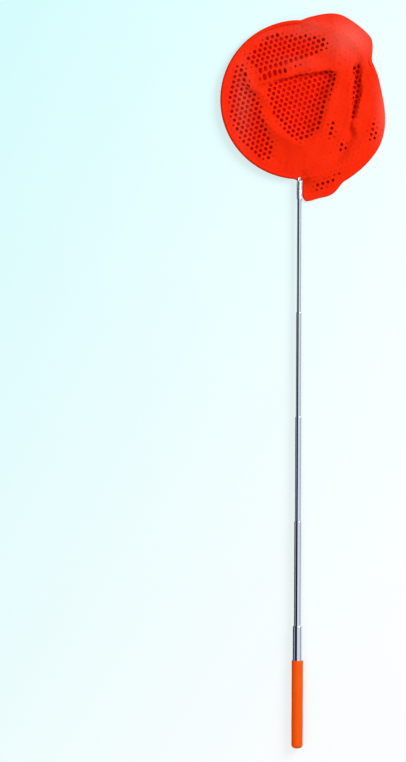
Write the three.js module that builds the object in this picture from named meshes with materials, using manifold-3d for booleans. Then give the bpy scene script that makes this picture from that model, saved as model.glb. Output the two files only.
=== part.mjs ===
// A telescopic hand net, lying on a table: a soft grip, a pole of five sliding tubes, and a wire hoop
// that carries a limp mesh bag. Millimetres. +Z is up, +Y runs along the pole to the hoop, and the
// origin is on the table under the middle of the grip.

import * as THREE from "three";
import { mergeVertices } from "three/addons/utils/BufferGeometryUtils.js";
import Module from "manifold-3d";

const wasm = await Module();
wasm.setup();

// Facets round every turned piece, with one facet flat on the table side
const poleSides = 24;

// Points along a quarter round, in degrees
const quarterRound = [0, 30, 60, 90];

// Grip
const gripWall = 1.15;
const gripLength = 103;
const gripEndWall = 2.5;
const gripDome = 4;
const gripMouthRound = 0.5;

// Tubes, from the handle to the tip. Each tube's diameter follows from the tube that slides in it.
const handleTubeWall = 0.5;
const handleTubeExposed = 40.5;
const handleLipLength = 3;
const handleBushRoom = 0.7;
const drawCount = 3;
const drawWall = 0.25;
const drawBushRoom = 0.3;
const drawReach = 122.5;
const drawOverlap = 16;
const drawLipLength = 1.2;
const tipReach = 133;
const tipOverlap = 12;

// Plug in the foot of the handle tube
const plugHead = 1.5;
const plugShank = 2.6;

// Split bush between two beads at the foot of each sliding tube
const bushSlot = 1.2;
const footWidth = 1.2;
const beadWidth = 0.8;

// Ferrule over the top of the tip tube
const ferruleWall = 0.6;
const ferruleLength = 21;
const ferruleSocket = 13;
const crimpWidth = 1.6;
const crimpDepth = 0.2;
const crimpInset = 3;

// Hoop
const wireDiameter = 2.2;
const wireSides = 8;
const hoopRadius = 91;
const hoopSteps = 64;
const tailLength = 32;
const tailBend = 4;
const tailBendSteps = 4;
const tailShowing = 0.6;

// Hem that wraps the wire
const hemWall = 1;
const hemSides = 10;
const hemBoreSides = 8;

// Bag: limp cloth that lies in the hoop, sewn to the hem on the left and fallen over it on the right.
// Angles are degrees anticlockwise from +X, places are from the middle of the hoop.
const bagStations = 90;
const bagRings = 15;
const bagFloor = 3;
const sewnHeight = 6.2;
const sewnEdge = 1.5;
const overHeight = 10;
const overDrop = 0.5;
const overWall = 1.2;
const overSector = { from: -86, to: 95, fromSoft: 5, toSoft: 5 };
const bagRise = 34;
const foldFade = 12;
const foldRound = 4;
const ferruleSide = 3;
const ferruleSoft = 6;
const lobeHeight = 2.8;
const lobes = [
  { from: 27, to: 90, fromSoft: 16, toSoft: 28, reach: 15.6 },
  { from: -77, to: 12, fromSoft: 20, toSoft: 46, reach: 12.6 },
];
const skirt = { from: -90, to: -46, fromSoft: 4, toSoft: 24, reach: 20 };
const skirtHeight = 1.9;
const edgeRound = 0.5;

// Folds of the cloth: a crest from one place to another, its height at both, and how far the cloth falls
// away on its left and on its right
const folds = [
  { from: [-54, 22], to: [-2, 36], heights: [6, 10.5], falls: [34, 12] },
  { from: [-2, 36], to: [45, 43], heights: [10.5, 11.5], falls: [38, 12] },
  { from: [-66, 32], to: [-36, -5], heights: [6.5, 7.5], falls: [20, 30] },
  { from: [-47, -19], to: [-2, -53], heights: [6.5, 9], falls: [22, 36] },
  { from: [-2, -53], to: [24, -43], heights: [9, 9.5], falls: [14, 36] },
  { from: [24, -43], to: [45, 43], heights: [9.5, 11.5], falls: [16, 42] },
  { from: [57, 48], to: [57, -34], heights: [11.5, 9], falls: [12, 42] },
  { from: [80, 38], to: [66, -46], heights: [10.5, 9.5], falls: [42, 12] },
  { from: [54, -34], to: [28, -74], heights: [9, 8], falls: [18, 42] },
  { from: [40, 90], to: [50, 50], heights: [9.5, 11], falls: [42, 42] },
  { from: [6, -53], to: [-8, -80], heights: [9, 7], falls: [42, 22] },
];

// Clearances
const slideGap = 0.05;
const lipGap = 0.1;
const footGap = 0.1;
const pressGap = 0.05;
const tailGap = 0.1;
const tailRoom = 0.15;
const seatGap = 0.3;
const hemGap = 0.4;
const bagGap = 0.15;
const weld = 1e-4;

// Radii, from the wire tails out through the nested tubes to the grip
const wireRadius = wireDiameter / 2;
const tailX = wireRadius + tailGap / 2;
const tipRadius = tailX + wireRadius + tailRoom + drawWall;
const slidingRadii = Array.from({ length: drawCount + 1 }, (_, stage) => {
  return tipRadius + (drawCount - stage) * (drawBushRoom + drawWall);
});
const slidingBores = slidingRadii.map((radius) => radius - drawWall);
const handleBore = slidingRadii[0] + handleBushRoom;
const handleRadius = handleBore + handleTubeWall;
const gripBore = handleRadius + pressGap;
const gripRadius = gripBore + gripWall;
const ferruleBore = tipRadius + pressGap;
const ferruleRadius = ferruleBore + ferruleWall;
const hemRadius = wireRadius + hemGap + hemWall;

// Places along and above the table
const poleHeight = gripRadius * Math.cos(Math.PI / poleSides);
const gripButt = -gripLength / 2;
const gripMouth = gripLength / 2;
const handleMouth = gripMouth + handleTubeExposed;
const plugFoot = gripButt + gripEndWall + seatGap;
const handleFoot = plugFoot + plugHead + seatGap;
const ferruleFoot = handleMouth + drawReach * drawCount + tipReach;
const ferruleTop = ferruleFoot + ferruleLength;
const bendX = tailX + tailBend;
const bendDrop = Math.sqrt((hoopRadius + tailBend) ** 2 - bendX ** 2);
const bendY = ferruleTop + tailShowing;
const hoopY = bendY + bendDrop;
const hoopStart = Math.atan2(-bendDrop, bendX);
const up = new THREE.Vector3(0, 0, 1);

// The seat of each sliding tube's bush, above the tube's own foot
const tipStage = drawCount;
const parentBores = [handleBore, ...slidingBores.slice(0, -1)];
const parentLips = [handleLipLength, ...slidingBores.slice(0, -1).map(() => drawLipLength)];
const overlaps = slidingRadii.map((_, stage) => (stage === tipStage ? tipOverlap : drawOverlap));
const footStands = slidingRadii.map((radius, stage) => parentBores[stage] - footGap - radius);
const bushFeet = footStands.map((stand) => footWidth + stand + seatGap);
const bushTops = footStands.map((stand, stage) => {
  return overlaps[stage] - parentLips[stage] - seatGap - beadWidth - 2 * stand - seatGap;
});

const polishedSteel = { color: 0xd6dade, roughness: 0.14, metalness: 1 };
const springBrass = { color: 0xc9a14a, roughness: 0.35, metalness: 1 };
const greyPlastic = { color: 0x55585c, roughness: 0.6, metalness: 0 };
const orangeVinyl = { color: 0xf76210, roughness: 0.42, metalness: 0 };
const orangeMesh = { color: 0xff3210, roughness: 0.85, metalness: 0 };

function named(name, geometry, finish) {
  const mesh = new THREE.Mesh(geometry, new THREE.MeshStandardMaterial(finish));
  mesh.name = name;
  return mesh;
}

// A solid turned about the pole from [radius, y] points that run up its outside and down its inside.
// An outline that doesn't start on the axis is closed.
function turned(outline) {
  const closed = outline[0][0] > 0 ? [...outline, outline[0]] : outline;
  const points = closed.map(([radius, y]) => new THREE.Vector2(radius, y));
  return new THREE.LatheGeometry(points, poleSides, Math.PI / poleSides);
}

function solidFrom(geometry) {
  const bare = geometry.clone();
  bare.deleteAttribute("normal");
  bare.deleteAttribute("uv");
  const welded = mergeVertices(bare, weld);
  const triVerts = new Uint32Array(welded.index.array);
  const vertProperties = new Float32Array(welded.attributes.position.array);
  return new wasm.Manifold(new wasm.Mesh({ numProp: 3, vertProperties, triVerts }));
}

function cut(geometry, tool) {
  const mesh = solidFrom(geometry).subtract(solidFrom(tool)).getMesh();
  const result = new THREE.BufferGeometry();
  result.setAttribute("position", new THREE.BufferAttribute(mesh.vertProperties, 3));
  result.setIndex(new THREE.BufferAttribute(mesh.triVerts, 1));
  result.computeVertexNormals();
  return result;
}

// A closed solid through rings of equally many points, with a fan from the middle of each end ring
function lofted(rings) {
  const sides = rings[0].length;
  const middle = (ring) => ring.reduce((sum, p) => sum.add(p), new THREE.Vector3()).divideScalar(sides);
  const points = [...rings.flat(), middle(rings[0]), middle(rings.at(-1))];
  const firstMiddle = points.length - 2;
  const lastMiddle = points.length - 1;
  const lastRing = (rings.length - 1) * sides;
  const index = [];
  for (let side = 0; side < sides; side += 1) {
    const next = (side + 1) % sides;
    for (let start = 0; start < lastRing; start += sides) {
      index.push(start + side, start + next, start + sides + side);
      index.push(start + next, start + sides + next, start + sides + side);
    }
    index.push(firstMiddle, next, side);
    index.push(lastMiddle, lastRing + side, lastRing + next);
  }
  const geometry = new THREE.BufferGeometry().setFromPoints(points);
  geometry.setIndex(index);
  geometry.computeVertexNormals();
  return geometry;
}

// A ring of points round a station of the hoop's flat path
function ringAt({ point, heading }, radius, sides) {
  const inward = new THREE.Vector3(-heading.y, heading.x, 0);
  return Array.from({ length: sides }, (_, side) => {
    const turn = (2 * Math.PI * (side + 0.5)) / sides;
    const ring = point.clone().addScaledVector(inward, radius * Math.cos(turn));
    return ring.addScaledVector(up, radius * Math.sin(turn));
  });
}

function smooth(value) {
  const t = THREE.MathUtils.clamp(value, 0, 1);
  return t * t * (3 - 2 * t);
}

// Grip: a sleeve with a domed closed end
function gripGeometry() {
  const dome = quarterRound.map((degrees) => {
    const turn = THREE.MathUtils.degToRad(degrees);
    return [gripRadius - gripDome + gripDome * Math.sin(turn), gripButt + gripDome * (1 - Math.cos(turn))];
  });
  return turned([
    [0, gripButt],
    ...dome,
    [gripRadius, gripMouth - gripMouthRound],
    [gripRadius - gripMouthRound, gripMouth],
    [gripBore, gripMouth],
    [gripBore, gripButt + gripEndWall],
    [0, gripButt + gripEndWall],
  ]);
}

// The top of a tube, swaged inwards until it just lets the next tube through: [radius, y] points up
// the outside, then down the inside
function swagedMouth(radius, wall, lipBore, top, lipLength) {
  const outside = quarterRound.map((degrees) => {
    const turn = THREE.MathUtils.degToRad(degrees);
    const inset = (radius - wall - lipBore) * (1 - Math.cos(turn));
    return [radius - inset, top - lipLength + lipLength * Math.sin(turn)];
  });
  return [...outside, [lipBore, top], [radius - wall, top - lipLength]];
}

function handleTubeGeometry() {
  const lipBore = slidingRadii[0] + lipGap;
  return turned([
    [handleRadius, handleFoot],
    ...swagedMouth(handleRadius, handleTubeWall, lipBore, handleMouth, handleLipLength),
    [handleBore, handleFoot],
  ]);
}

function plugGeometry() {
  const shank = handleBore - pressGap;
  const headTop = plugFoot + plugHead;
  return turned([
    [0, plugFoot],
    [handleRadius, plugFoot],
    [handleRadius, headTop],
    [shank, headTop],
    [shank, headTop + plugShank],
    [0, headTop + plugShank],
  ]);
}

// The foot of a sliding tube: a flared end, the seat of its bush, and a rolled bead above it
function slidingFoot(stage) {
  const radius = slidingRadii[stage];
  const stand = footStands[stage];
  const seatTop = bushTops[stage] + seatGap;
  return [
    [radius + stand, 0],
    [radius + stand, footWidth],
    [radius, footWidth + stand],
    [radius, seatTop],
    [radius + stand, seatTop + stand],
    [radius + stand, seatTop + stand + beadWidth],
    [radius, seatTop + 2 * stand + beadWidth],
  ];
}

function drawTubeGeometry(stage) {
  const length = drawReach + drawOverlap;
  const lipBore = slidingRadii[stage + 1] + lipGap;
  return turned([
    ...slidingFoot(stage),
    ...swagedMouth(slidingRadii[stage], drawWall, lipBore, length, drawLipLength),
    [slidingBores[stage], 0],
  ]);
}

function tipTubeGeometry() {
  const length = tipOverlap + tipReach + ferruleSocket;
  return turned([
    ...slidingFoot(tipStage),
    [tipRadius, length],
    [slidingBores[tipStage], length],
    [slidingBores[tipStage], 0],
  ]);
}

// A thin sleeve with one slot along it, so that it springs out against the tube round it
function bushGeometry(stage) {
  const inside = slidingRadii[stage] + slideGap;
  const outside = parentBores[stage] - slideGap;
  const foot = bushFeet[stage];
  const top = bushTops[stage];
  const sleeve = turned([
    [outside, foot],
    [outside, top],
    [inside, top],
    [inside, foot],
  ]);
  const slot = new THREE.BoxGeometry(bushSlot, top + foot, outside);
  slot.translate(0, (top + foot) / 2, inside);
  return cut(sleeve, slot);
}

// Ferrule: a sleeve crimped on the tip tube below and closed in round the two wire tails above
function ferruleGeometry() {
  const tailBore = tailX + wireRadius + lipGap;
  const crimp = (middle) => [
    [ferruleRadius, middle - crimpWidth / 2],
    [ferruleRadius - crimpDepth, middle - crimpWidth / 4],
    [ferruleRadius - crimpDepth, middle + crimpWidth / 4],
    [ferruleRadius, middle + crimpWidth / 2],
  ];
  const shoulder = ferruleSocket + seatGap;
  return turned([
    [ferruleRadius, 0],
    ...crimp(crimpInset),
    ...crimp(ferruleSocket - crimpInset),
    ...swagedMouth(ferruleRadius, ferruleWall, tailBore, ferruleLength, drawLipLength).slice(0, -1),
    [tailBore, shoulder],
    [ferruleBore, shoulder],
    [ferruleBore, 0],
  ]);
}

// The hoop's round part, anticlockwise from the right of the ferrule, as points with headings
function hoopStations() {
  const sweep = -2 * hoopStart + Math.PI;
  return Array.from({ length: hoopSteps + 1 }, (_, step) => {
    const turn = hoopStart + (sweep * step) / hoopSteps;
    const out = new THREE.Vector3(Math.cos(turn), Math.sin(turn), 0);
    const point = new THREE.Vector3(0, hoopY, 0).addScaledVector(out, hoopRadius);
    return { point, heading: new THREE.Vector3(-out.y, out.x, 0) };
  });
}

// The right-hand tail and its bend up into the hoop
function tailStations() {
  const stop = hoopStart + Math.PI;
  const bend = Array.from({ length: tailBendSteps }, (_, step) => {
    const turn = Math.PI + ((stop - Math.PI) * step) / tailBendSteps;
    const out = new THREE.Vector3(Math.cos(turn), Math.sin(turn), 0);
    const point = new THREE.Vector3(bendX, bendY, 0).addScaledVector(out, tailBend);
    return { point, heading: new THREE.Vector3(out.y, -out.x, 0) };
  });
  const end = { point: new THREE.Vector3(tailX, bendY - tailLength, 0), heading: new THREE.Vector3(0, 1, 0) };
  return [end, ...bend];
}

function mirrored({ point, heading }) {
  const flip = ({ x, y, z }) => new THREE.Vector3(-x, y, z);
  return { point: flip(point), heading: flip(heading).negate() };
}

function wireGeometry() {
  const tail = tailStations();
  const path = [...tail, ...hoopStations(), ...tail.map(mirrored).reverse()];
  return lofted(path.map((station) => ringAt(station, wireRadius, wireSides)));
}

// The hoop's round part, with a little more at both ends
function hemStations() {
  const stations = hoopStations();
  const past = ({ point, heading }, along) => ({
    point: point.clone().addScaledVector(heading, along),
    heading,
  });
  return [past(stations[0], -wireDiameter), ...stations, past(stations.at(-1), wireDiameter)];
}

// Hem: a sleeve of cloth round the hoop, open at both ends beside the ferrule
function hemGeometry() {
  const boreRadius = (wireRadius + hemGap) / Math.cos(Math.PI / hemBoreSides);
  return cut(
    lofted(hoopStations().map((station) => ringAt(station, hemRadius, hemSides))),
    lofted(hemStations().map((station) => ringAt(station, boreRadius, hemBoreSides))),
  );
}

// 0 outside a sector of the hoop, 1 well inside it
function sectorShare(angle, { from, to, fromSoft, toSoft }) {
  return smooth((angle - from) / fromSoft) * smooth((to - angle) / toSoft);
}

// How high the folds stand over the flat cloth at a place in the hoop
function foldHeight(x, y) {
  return folds.reduce((highest, { from, to, heights, falls }) => {
    const start = new THREE.Vector2(...from);
    const along = new THREE.Vector2(...to).sub(start);
    const place = new THREE.Vector2(x, y).sub(start);
    const share = THREE.MathUtils.clamp(place.dot(along) / along.lengthSq(), 0, 1);
    const crest = THREE.MathUtils.lerp(...heights, share) - bagFloor;
    const fall = along.cross(place) > 0 ? falls[0] : falls[1];
    const away = place.distanceTo(along.multiplyScalar(share));
    return Math.max(highest, crest * (1 - away / fall));
  }, 0);
}

// The same with rounded crests and hollows: the mean of a place and four around it
function roundedFold(x, y) {
  const round = [
    [0, 0],
    [foldRound, 0],
    [-foldRound, 0],
    [0, foldRound],
    [0, -foldRound],
  ];
  return round.reduce((sum, [dx, dy]) => sum + foldHeight(x + dx, y + dy), 0) / round.length;
}

// The bag across one angle of the hoop, from near the middle to the edge and back under it: [radius, z]
function bagSection(angle) {
  const { lerp } = THREE.MathUtils;
  const turn = THREE.MathUtils.degToRad(angle);
  const over = sectorShare(angle, overSector);
  const beside = smooth((Math.abs(angle + 90) - ferruleSide) / ferruleSoft);
  const crown = lerp(poleHeight - hemRadius - hemGap, lerp(sewnHeight, overHeight, over), beside);
  const lobe = lobes.reduce((sum, each) => sum + each.reach * sectorShare(angle, each), 0);
  const crownEdge = hoopRadius + lerp(sewnEdge / 2, hemRadius + seatGap, over);
  const lobeEdge = hoopRadius + lerp(sewnEdge, hemRadius + overWall + lobe, over);
  const skirtEdge = hoopRadius + sewnEdge + skirt.reach * sectorShare(angle, skirt);
  const outline = Math.max(lobeEdge + 2 * edgeRound, skirtEdge);
  const inside = Array.from({ length: bagRings }, (_, ring) => {
    const radius = (hoopRadius * (ring + 1)) / (bagRings + 1);
    const fold = roundedFold(radius * Math.cos(turn), radius * Math.sin(turn));
    const rise = (crown - bagFloor) * (1 - (hoopRadius - radius) / bagRise);
    return [radius, bagFloor + Math.max(rise, fold * smooth((hoopRadius - radius) / foldFade), 0)];
  });
  return [
    ...inside,
    [hoopRadius, crown],
    [crownEdge, crown - overDrop],
    [(crownEdge + lobeEdge) / 2, (crown + lobeHeight) / 2],
    [lobeEdge, lobeHeight],
    [outline - edgeRound, skirtHeight],
    [outline, skirtHeight / 2],
    [outline - edgeRound, 0],
  ];
}

// The solid of the bag, cut clear of the hem that it covers and of the ferrule
function bagGeometry() {
  const sections = Array.from({ length: bagStations }, (_, station) => {
    const degrees = (360 * station) / bagStations;
    return bagSection(degrees > 180 ? degrees - 360 : degrees);
  });
  const rings = sections[0].map((_, ring) => {
    return sections.map((section, station) => {
      const turn = (2 * Math.PI * station) / bagStations;
      const [radius, z] = section[ring];
      return new THREE.Vector3(radius * Math.cos(turn), hoopY + radius * Math.sin(turn), z);
    });
  });
  const hemRoom = lofted(hemStations().map((station) => ringAt(station, hemRadius + bagGap, hemSides)));
  const ferruleRoom = turned([
    [0, ferruleFoot - ferruleLength],
    [ferruleRadius + seatGap, ferruleFoot - ferruleLength],
    [ferruleRadius + seatGap, ferruleTop + seatGap],
    [0, ferruleTop + seatGap],
  ]);
  const cloth = cut(lofted(rings.reverse()), hemRoom.translate(0, 0, poleHeight));
  return cut(cloth, ferruleRoom.translate(0, 0, poleHeight));
}

function groupAt(y, ...children) {
  const group = new THREE.Group();
  group.position.y = y;
  group.add(...children);
  return group;
}

function slidingPieces(stage, tube) {
  const bush = named(`friction_bush_${stage + 1}`, bushGeometry(stage), springBrass);
  return [tube, bush];
}

const hoop = named("hoop_wire", wireGeometry(), polishedSteel);
const hem = named("net_hem", hemGeometry(), orangeMesh);
const ferrule = named("ferrule", ferruleGeometry(), polishedSteel);
ferrule.position.y = tipOverlap + tipReach;

const tipTube = named("tip_tube", tipTubeGeometry(), polishedSteel);
const tip = groupAt(drawReach + drawOverlap - tipOverlap, ...slidingPieces(tipStage, tipTube), ferrule);

// Each draw carries the next, from the tip back to the one that slides in the handle tube
const firstDraw = slidingBores.slice(0, drawCount).reduceRight((carried, _, stage) => {
  const tube = named(`draw_tube_${stage + 1}`, drawTubeGeometry(stage), polishedSteel);
  const foot = stage === 0 ? handleMouth - drawOverlap : drawReach;
  return groupAt(foot, ...slidingPieces(stage, tube), carried);
}, tip);

const pole = new THREE.Group();
pole.position.z = poleHeight;
pole.add(
  named("grip", gripGeometry(), orangeVinyl),
  named("handle_tube", handleTubeGeometry(), polishedSteel),
  named("end_plug", plugGeometry(), greyPlastic),
  firstDraw,
  hoop,
  hem,
);

const net = new THREE.Group();
net.name = "telescopic_net";
net.add(pole, named("net_bag", bagGeometry(), orangeMesh));

export default net;
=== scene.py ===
import math

import bmesh
import bpy
import numpy as np
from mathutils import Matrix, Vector


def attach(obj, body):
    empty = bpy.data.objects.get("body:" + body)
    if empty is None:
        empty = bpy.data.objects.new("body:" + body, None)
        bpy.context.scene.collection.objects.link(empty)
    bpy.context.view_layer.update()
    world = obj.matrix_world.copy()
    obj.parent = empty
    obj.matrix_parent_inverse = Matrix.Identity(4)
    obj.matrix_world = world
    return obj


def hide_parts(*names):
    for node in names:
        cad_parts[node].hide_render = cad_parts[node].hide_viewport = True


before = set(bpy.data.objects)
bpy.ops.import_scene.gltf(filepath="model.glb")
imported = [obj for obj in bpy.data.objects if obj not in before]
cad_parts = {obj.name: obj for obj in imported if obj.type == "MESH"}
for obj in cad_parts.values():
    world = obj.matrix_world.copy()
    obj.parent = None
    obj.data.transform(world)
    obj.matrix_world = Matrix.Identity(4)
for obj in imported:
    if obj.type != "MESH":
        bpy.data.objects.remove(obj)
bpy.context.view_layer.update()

scene = bpy.context.scene
mm = 0.001
tiny = 1e-9
print("frame loaded:", len(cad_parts), "nodes")


# sRGB hex to linear RGBA
def colour(hexText):
    srgb = np.array([int(hexText[i:i + 2], 16) for i in (1, 3, 5)]) / 255
    linear = np.where(srgb <= 0.04045, srgb / 12.92, ((srgb + 0.055) / 1.055) ** 2.4)
    return [*linear.tolist(), 1.0]


# One shader node with its settings. Each input is another node's output, a hex colour or a plain value.
def addNode(tree, kind, inputs=None, **settings):
    node = tree.nodes.new(f"ShaderNode{kind}")
    for name, value in settings.items():
        setattr(node, name, value)
    for name, value in (inputs or {}).items():
        if isinstance(value, bpy.types.NodeSocket):
            tree.links.new(value, node.inputs[name])
        else:
            node.inputs[name].default_value = colour(value) if isinstance(value, str) else value
    return node


# Inputs 6 and 7 of a mix are its two colours, and output 2 is the mixed one
def mixTones(tree, share, first, second, blend="MIX"):
    inputs = {0: share, 6: first, 7: second}
    return addNode(tree, "Mix", inputs, data_type="RGBA", blend_type=blend).outputs[2]


def mapRange(tree, value, source=(0.0, 1.0), target=(0.0, 1.0)):
    inputs = {"Value": value, "From Min": source[0], "From Max": source[1], "To Min": target[0],
              "To Max": target[1]}
    return addNode(tree, "MapRange", inputs).outputs["Result"]


def addMath(tree, operation, first, second):
    return addNode(tree, "Math", {0: first, 1: second}, operation=operation).outputs[0]


# Noise with grains so wide, in mm unless the place has another unit
def addNoise(tree, place, grain, detail=3.0, unit=mm):
    inputs = {"Vector": place, "Scale": 1 / (grain * unit), "Detail": detail}
    return addNode(tree, "TexNoise", inputs).outputs["Fac"]


def addBump(tree, height, strength, depth):
    inputs = {"Height": height, "Strength": strength, "Distance": depth * mm}
    return addNode(tree, "Bump", inputs).outputs["Normal"]


def objectPlace(tree):
    return addNode(tree, "TexCoord").outputs["Object"]


def newMaterial(name):
    material = bpy.data.materials.new(name)
    material.use_nodes = True
    material.node_tree.nodes.clear()
    return material, material.node_tree


def putShader(tree, kind, inputs):
    shader = addNode(tree, kind, inputs)
    addNode(tree, "OutputMaterial", {"Surface": shader.outputs[0]})


# Cubic ease from 0 to 1
def smooth(value):
    t = np.clip(value, 0, 1)
    return t * t * (3 - 2 * t)


# Angles of so many sides all the way round
def fullTurn(sides):
    return np.linspace(0, 2 * np.pi, sides, endpoint=False)


# Puts arrays of points (mm) and quads into a piece that rides a body
def putMesh(name, points, faces, material, body, sharp, uv=None):
    mesh = bpy.data.meshes.new(name)
    mesh.from_pydata((np.asarray(points) * mm).tolist(), [], np.asarray(faces).tolist())
    if uv is not None:
        corner = np.zeros(len(mesh.loops), dtype=np.int32)
        mesh.loops.foreach_get("vertex_index", corner)
        layer = mesh.uv_layers.new(name="cloth")
        layer.data.foreach_set("uv", np.asarray(uv)[corner].astype(np.float32).ravel())
    mesh.validate()
    mesh.shade_smooth()
    mesh.set_sharp_from_angle(angle=math.radians(sharp))
    mesh.materials.append(material)
    piece = bpy.data.objects.new(name, mesh)
    scene.collection.objects.link(piece)
    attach(piece, body)
    return piece


# Closes poles and seams
def mergeDoubles(piece, distance=1e-6):
    work = bmesh.new()
    work.from_mesh(piece.data)
    bmesh.ops.remove_doubles(work, verts=work.verts, dist=distance)
    bmesh.ops.recalc_face_normals(work, faces=work.faces)
    work.to_mesh(piece.data)
    work.free()


# Quads between neighbours of a grid of rows x columns, closed round the columns, and the rows if asked
def gridQuads(rows, columns, closeRows=False, closeColumns=True):
    index = np.arange(rows * columns).reshape(rows, columns)
    right = np.roll(index, -1, axis=1)
    below = np.roll(index, -1, axis=0)
    belowRight = np.roll(right, -1, axis=0)
    quads = np.stack([index, right, belowRight, below], -1)
    return quads[:None if closeRows else -1, :None if closeColumns else -1].reshape(-1, 4)


# A flat piece of the stage, from one corner to the other in mm
def putStage(name, low, high, z, material, mirrorOnly=False):
    corners = [(low[0], low[1], z), (high[0], low[1], z), (high[0], high[1], z), (low[0], high[1], z)]
    mesh = bpy.data.meshes.new(name)
    mesh.from_pydata((np.array(corners) * mm).tolist(), [], [(0, 1, 2, 3)])
    mesh.materials.append(material)
    piece = bpy.data.objects.new(name, mesh)
    for ray in ("camera", "diffuse", "shadow", "transmission"):
        setattr(piece, f"visible_{ray}", not mirrorOnly)
    scene.collection.objects.link(piece)


# Camera: straight down on the table, the long lens of a product photograph
cameraSet = {
    "aim": (-112.1, 378.6),  # mm, the point of the table in the middle of the picture
    "frameHeight": 895.2,  # mm of table from the bottom to the top of the picture
    "distance": 3200.0,  # mm
    "sensor": 36.0,
    "roll": -0.26,  # degrees, the pole leans a little in the picture
    "clipEnd": 100.0,  # m
}


def makeCamera():
    data = bpy.data.cameras.new("camera")
    data.sensor_width = cameraSet["sensor"]
    data.lens = cameraSet["sensor"] * cameraSet["distance"] / cameraSet["frameHeight"]
    data.clip_end = cameraSet["clipEnd"]
    camera = bpy.data.objects.new("camera", data)
    x, y = cameraSet["aim"]
    camera.location = (x * mm, y * mm, cameraSet["distance"] * mm)
    camera.rotation_euler = (0, 0, math.radians(-cameraSet["roll"]))
    scene.collection.objects.link(camera)
    scene.camera = camera
    print("camera: lens", round(data.lens, 1), "mm")


makeCamera()

# Light: a large soft lamp to the right, a weaker one to the left, and a pale room with dark bands that only
# reflections see, which draw the dark lines down every tube. Lamps are in metres.
lightSet = {
    "lamps": {
        "key": {"place": (1.25, 1.35, 1.15), "aim": (0.0, 0.5, 0.0), "size": 0.9, "watts": 32.0,
                "mirrored": True},
        "fill": {"place": (-0.7, -0.75, 1.3), "aim": (0.0, 0.1, 0.0), "size": 1.0, "watts": 9.5,
                 "mirrored": False},
    },
    "roomLight": "#f4f8ff",
    "roomStrength": 0.36,
    # tones of the mirrored room, from straight left (-1) by the zenith (0) to straight right (1)
    "bands": ((-1.0, "#7a8296"), (-0.92, "#7a8296"), (-0.82, "#080a12"), (-0.22, "#080a12"),
              (-0.14, "#f4f8ff"), (0.88, "#f4f8ff"), (0.95, "#868c9c"), (1.0, "#868c9c")),
}


def makeLamps():
    for name, spec in lightSet["lamps"].items():
        data = bpy.data.lights.new(name, "AREA")
        data.energy = spec["watts"]
        data.size = spec["size"]
        lamp = bpy.data.objects.new(name, data)
        lamp.location = spec["place"]
        lamp.visible_glossy = spec["mirrored"]
        aim = Vector(spec["aim"]) - Vector(spec["place"])
        lamp.rotation_euler = aim.to_track_quat("-Z", "Y").to_euler()
        scene.collection.objects.link(lamp)


def makeRoom():
    world = bpy.data.worlds.new("room")
    world.use_nodes = True
    tree = world.node_tree
    tree.nodes.clear()
    path = addNode(tree, "LightPath")
    way = addNode(tree, "TexCoord")
    split = addNode(tree, "SeparateXYZ", {"Vector": way.outputs["Generated"]})
    across = mapRange(tree, split.outputs["X"], (-1.0, 1.0))
    bands = addNode(tree, "ValToRGB", {"Fac": across})
    stops = bands.color_ramp.elements
    stops.remove(stops[0])
    for place, shade in lightSet["bands"][:-1]:
        stops.new((place + 1) / 2).color = colour(shade)
    stops[len(stops) - 1].color = colour(lightSet["bands"][-1][1])
    tone = mixTones(tree, path.outputs["Is Glossy Ray"], lightSet["roomLight"], bands.outputs["Color"])
    # diffuse light is weaker than the room that mirrors and the camera see
    level = mapRange(tree, path.outputs["Is Diffuse Ray"], target=(1.0, lightSet["roomStrength"]))
    light = addNode(tree, "Background", {"Color": tone, "Strength": level})
    addNode(tree, "OutputWorld", {"Surface": light.outputs[0]})
    scene.world = world


# A dark card on the table to the left of the pole, which only reflections see
cardSet = {"low": (-75.0, -60.0), "high": (-7.0, 612.0), "above": 0.2, "tone": "#0d1119"}


def makeCard():
    material, tree = newMaterial("blackCard")
    putShader(tree, "BsdfDiffuse", {"Color": cardSet["tone"]})
    putStage("darkCard", cardSet["low"], cardSet["high"], cardSet["above"], material, mirrorOnly=True)


makeLamps()
makeRoom()
makeCard()
print("lights set")

# Table: matt white laminate with a faint cyan cast that grows beyond the hoop and to the left
tableSet = {
    "halfSize": 15000.0,
    "tone": "#feffff",
    "cast": "#daffff",
    "castWay": (-1.06, 0.7, 0.0),  # share of the cast gained per metre
    "castStart": -0.08,
    "ownShare": 0.28,  # share of the tone that light makes, and shadows take away
    "drop": 0.06,
}


def makeTable():
    material, tree = newMaterial("mattWhiteLaminate")
    along = addNode(tree, "VectorMath", {0: objectPlace(tree), 1: tableSet["castWay"]},
                    operation="DOT_PRODUCT")
    start, own = tableSet["castStart"], tableSet["ownShare"]
    share = mapRange(tree, along.outputs["Value"], (start, start + 1))
    tone = mixTones(tree, share, tableSet["tone"], tableSet["cast"])
    path = addNode(tree, "LightPath")
    eye = addMath(tree, "MAXIMUM", path.outputs["Is Camera Ray"], path.outputs["Is Glossy Ray"])
    anyEye = addMath(tree, "MAXIMUM", eye, path.outputs["Is Transmission Ray"])
    strength = addMath(tree, "MULTIPLY", anyEye, 1 - own)
    glow = addNode(tree, "Emission", {"Color": tone, "Strength": strength})
    paint = mixTones(tree, 1.0, tone, (own, own, own, 1.0), "MULTIPLY")
    matt = addNode(tree, "BsdfDiffuse", {"Color": paint})
    putShader(tree, "AddShader", {0: matt.outputs[0], 1: glow.outputs[0]})
    half = tableSet["halfSize"]
    putStage("table", (-half, -half), (half, half), -tableSet["drop"], material)
    print("table made")


makeTable()

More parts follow.
